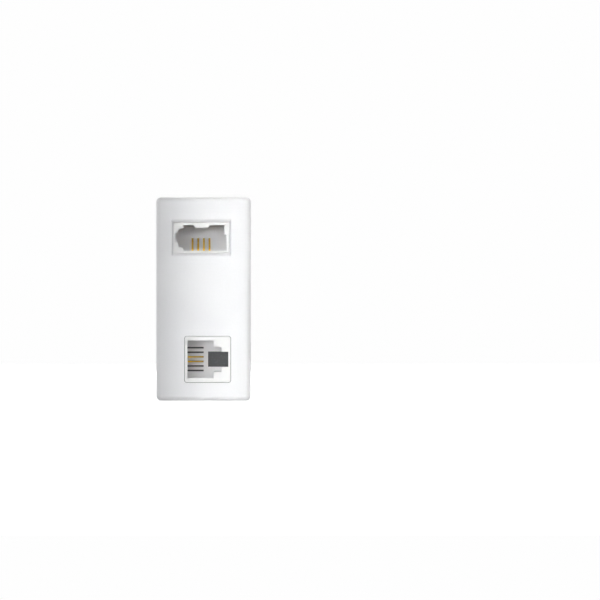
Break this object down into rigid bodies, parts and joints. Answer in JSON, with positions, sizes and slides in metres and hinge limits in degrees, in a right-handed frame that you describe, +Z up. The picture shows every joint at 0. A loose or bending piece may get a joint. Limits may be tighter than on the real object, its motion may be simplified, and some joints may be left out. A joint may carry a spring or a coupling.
{
  "type": "dsl filter",
  "caption": "Plug-in telephone line filter: small upright moulded case with a telephone socket and a square data socket in its front, and a latched telephone plug on its rear.",
  "frame": {"origin": "centre of the bottom end of the case, on which the filter stands", "axes": "+Z up along the case, +Y to the rear along the plug, +X to the right seen from the front"},
  "size_m": [0.0248, 0.0421, 0.0532],
  "materials": {
    "case_plastic": "moulded ABS, fine matte texture",
    "socket_plastic": "moulded, smooth",
    "plug_plastic": "moulded polycarbonate, smooth",
    "insert_plastic": "dark grey moulded",
    "gold_contact": "gold-plated phosphor bronze",
    "board_laminate": "glass-epoxy laminate with solder mask",
    "bobbin_plastic": "black moulded",
    "winding_wire": "enamelled copper wire",
    "core_ferrite": "sintered ferrite",
    "capacitor_box": "moulded box, potted",
    "disc_coating": "dipped epoxy",
    "chip_glaze": "fired glaze between tinned caps",
    "printed_ink": "black pad-printed ink"
  },
  "bodies": {
    "filter": {"front_cover": "case_plastic", "rear_shell": "case_plastic", "phone_socket_body": "socket_plastic", "data_socket_body": "socket_plastic", "data_contact_carrier": "insert_plastic", "line_plug_body": "plug_plastic", "circuit_board": "board_laminate", "phone_contact_1": "gold_contact", "phone_contact_2": "gold_contact", "phone_contact_3": "gold_contact", "phone_contact_4": "gold_contact", "plug_contact_1": "gold_contact", "plug_contact_2": "gold_contact", "plug_contact_3": "gold_contact", "plug_contact_4": "gold_contact", "data_contact_1": "gold_contact", "data_contact_2": "gold_contact", "left_choke_bobbin": "bobbin_plastic", "left_choke_winding": "winding_wire", "left_choke_core_front": "core_ferrite", "left_choke_core_back": "core_ferrite", "right_choke_bobbin": "bobbin_plastic", "right_choke_winding": "winding_wire", "right_choke_core_front": "core_ferrite", "right_choke_core_back": "core_ferrite", "bell_capacitor": "capacitor_box", "film_capacitor": "capacitor_box", "ceramic_capacitor_1": "disc_coating", "ceramic_capacitor_2": "disc_coating", "resistor_1": "chip_glaze", "resistor_2": "chip_glaze"},
    "latch": {"plug_latch": "plug_plastic"}
  },
  "joints": [
    {"name": "latch_press", "type": "hinge", "parent": "filter", "child": "latch", "pos_m": [0.00496, 0.03136, 0.02678], "axis": [0, 0, -1], "range_deg": [0, 5], "stiffness_Nm_per_rad": 0.3}
  ]
}
